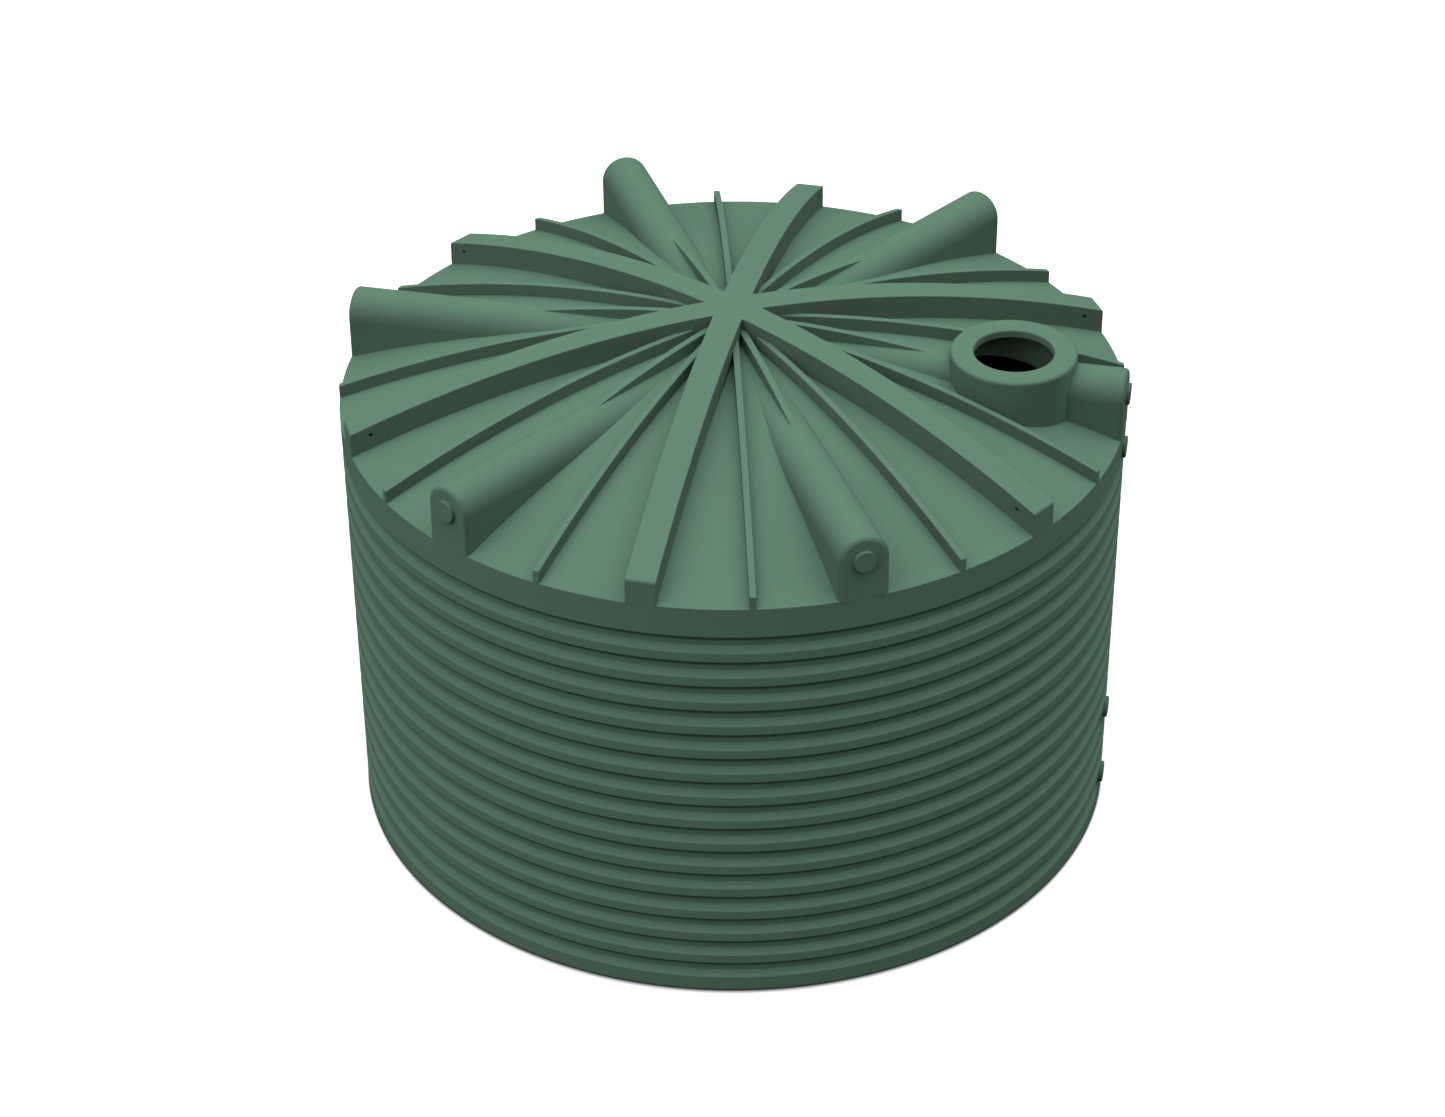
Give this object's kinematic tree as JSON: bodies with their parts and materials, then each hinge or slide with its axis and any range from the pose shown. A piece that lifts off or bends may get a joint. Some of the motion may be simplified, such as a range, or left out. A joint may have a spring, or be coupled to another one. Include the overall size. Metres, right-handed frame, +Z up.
{
  "type": "rainwater tank",
  "caption": "Round polyethylene rainwater tank with a corrugated wall, a ribbed domed roof with round-backed humps, pipe pads and an open manhole collar.",
  "frame": {"origin": "centre of the base, on the ground plane", "axes": "+Z up along the tank's axis, +X towards the hump with the manhole collar and the pipe pads below it"},
  "size_m": [3.984, 3.95, 2.7496],
  "materials": {
    "polyethylene": "matte, moulded"
  },
  "bodies": {
    "root": {"floor": "polyethylene", "hump_1_inner": "polyethylene", "hump_1_outer": "polyethylene", "hump_2": "polyethylene", "hump_3": "polyethylene", "hump_4": "polyethylene", "hump_5": "polyethylene", "hump_6": "polyethylene", "main_rib_1": "polyethylene", "main_rib_2": "polyethylene", "main_rib_3": "polyethylene", "main_rib_4": "polyethylene", "main_rib_5": "polyethylene", "main_rib_6": "polyethylene", "manhole_collar": "polyethylene", "narrow_rib_1": "polyethylene", "narrow_rib_10": "polyethylene", "narrow_rib_11": "polyethylene", "narrow_rib_12": "polyethylene", "narrow_rib_2": "polyethylene", "narrow_rib_3": "polyethylene", "narrow_rib_4": "polyethylene", "narrow_rib_5": "polyethylene", "narrow_rib_6": "polyethylene", "narrow_rib_7": "polyethylene", "narrow_rib_8": "polyethylene", "narrow_rib_9": "polyethylene", "overflow_pad": "polyethylene", "roof_hub": "polyethylene", "roof_panel_1": "polyethylene", "roof_panel_2": "polyethylene", "roof_panel_3": "polyethylene", "roof_panel_4": "polyethylene", "roof_panel_5": "polyethylene", "roof_panel_6": "polyethylene", "wall_pad_1": "polyethylene", "wall_pad_2": "polyethylene", "wall_segment_1": "polyethylene", "wall_segment_2": "polyethylene", "wall_segment_3": "polyethylene", "wall_segment_4": "polyethylene", "wall_segment_5": "polyethylene", "wall_segment_6": "polyethylene"}
  },
  "joints": []
}
